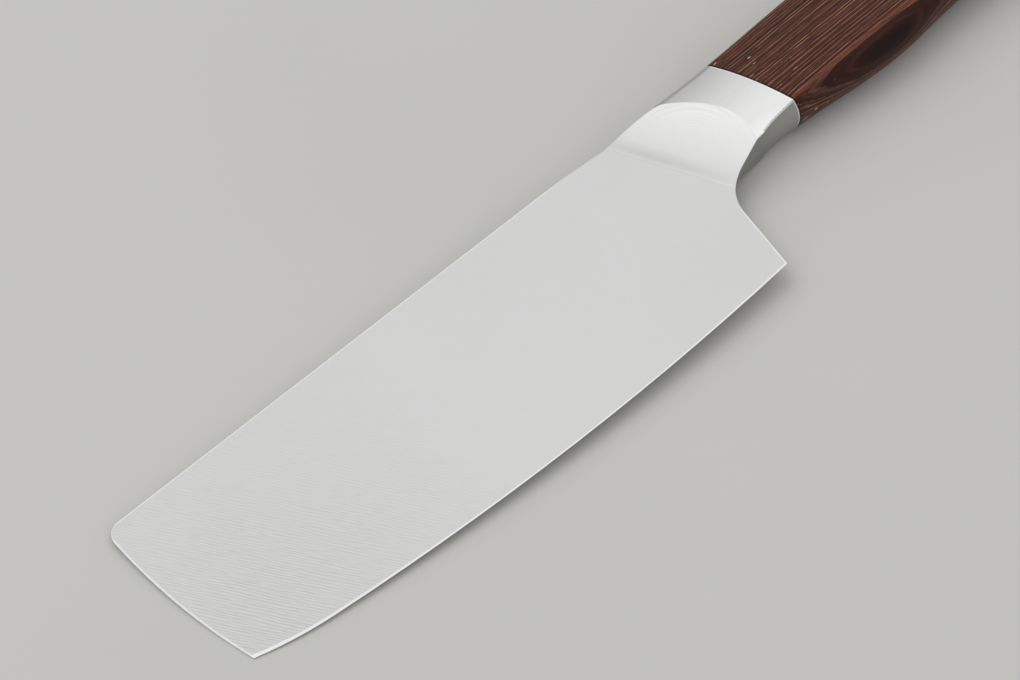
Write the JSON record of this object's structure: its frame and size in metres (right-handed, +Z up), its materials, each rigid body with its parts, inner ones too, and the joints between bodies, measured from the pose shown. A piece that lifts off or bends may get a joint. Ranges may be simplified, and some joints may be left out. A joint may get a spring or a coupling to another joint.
{
  "type": "nakiri knife",
  "caption": "Vegetable knife with a straight-backed rectangular blade, a ramped cast bolster and a shaped wooden handle, lying on its side.",
  "frame": {"origin": "middle of the footprint of the knife as it lies on its side, at table height", "axes": "+X from the blade's front end towards the butt, +Y from the cutting edge towards the spine, +Z up off the table"},
  "size_m": [0.306, 0.0582, 0.0198],
  "materials": {
    "blade_steel": "fine crosswise belt grind, satin",
    "bolster_steel": "satin with a polished ramp",
    "tang_steel": "mill finish, hidden",
    "wenge_wood": "oiled, dark brown with fine red-brown lines",
    "casting_resin": "cured dark resin"
  },
  "bodies": {
    "root": {"blade": "blade_steel", "bolster": "bolster_steel", "tang": "tang_steel", "handle_block": "wenge_wood", "resin_bed": "casting_resin"}
  },
  "joints": []
}
